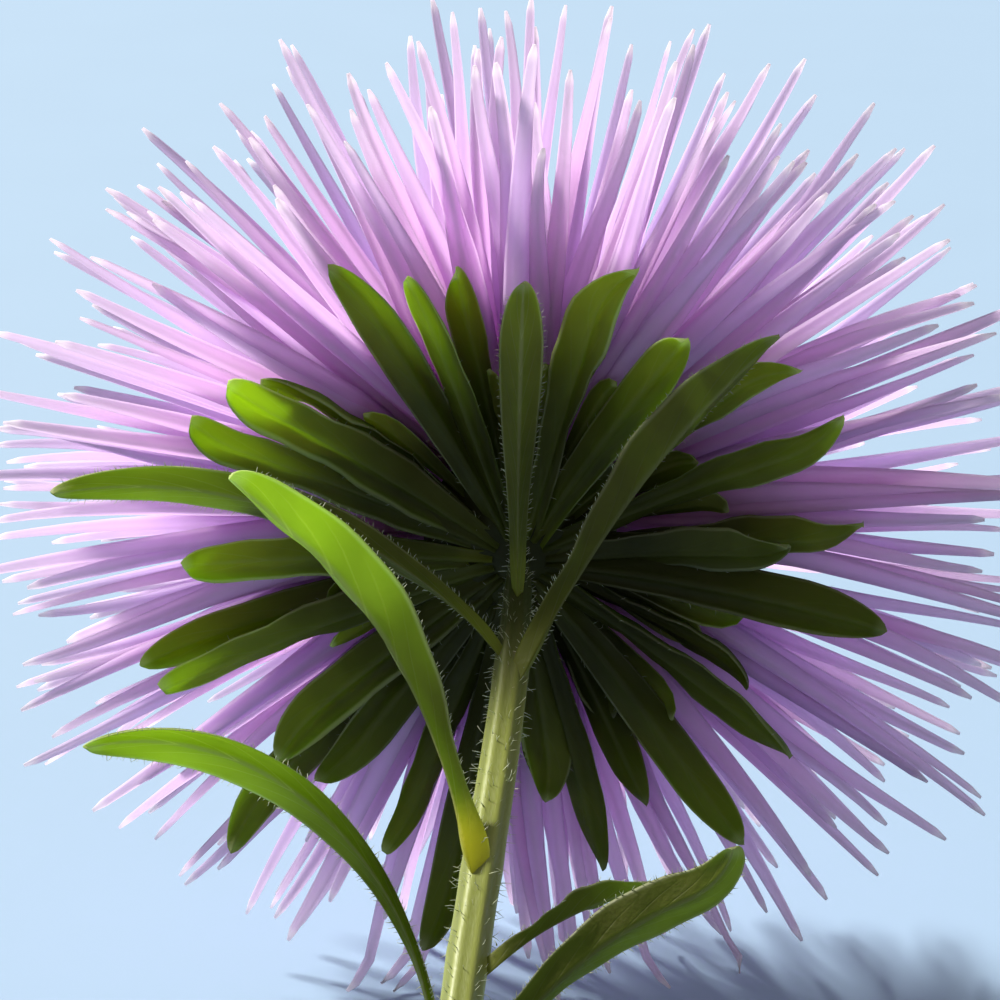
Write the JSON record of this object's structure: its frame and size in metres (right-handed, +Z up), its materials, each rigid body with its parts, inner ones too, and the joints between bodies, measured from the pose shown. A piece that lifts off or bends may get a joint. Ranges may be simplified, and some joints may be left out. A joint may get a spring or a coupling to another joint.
{
  "type": "giant ray china aster",
  "caption": "Large lilac aster bloom of narrow ray petals over a ruff of green bracts, on a leafy cut stem that lies down.",
  "frame": {"origin": "under the middle of the whole flower's bounding box, on the surface that it lies on", "axes": "+Y along the flower from the cut end of the stem to the bloom, +Z up from the surface, +X to the right when looking along +Y"},
  "size_m": [0.1322, 0.285, 0.1298],
  "materials": {
    "stem_green": "satin, ribbed, with fine white hairs",
    "bract_green": "satin, with pale midribs and hairy edges",
    "leaf_green": "satin, with pale veins and hairy edges",
    "ray_lilac": "soft matte, finely striped, paler to the tips",
    "disc_yellow": "soft matte"
  },
  "bodies": {
    "root": {"stem": "stem_green", "involucre": "bract_green", "ray_florets": "ray_lilac", "disc_florets": "disc_yellow", "leaf_top": "leaf_green", "leaf_upper_right": "leaf_green", "leaf_upper_left": "leaf_green", "leaf_broad": "leaf_green", "leaf_small": "leaf_green", "leaf_arching": "leaf_green", "leaf_low_right": "leaf_green", "leaf_toothed_left": "leaf_green", "leaf_toothed_right": "leaf_green"}
  },
  "joints": []
}
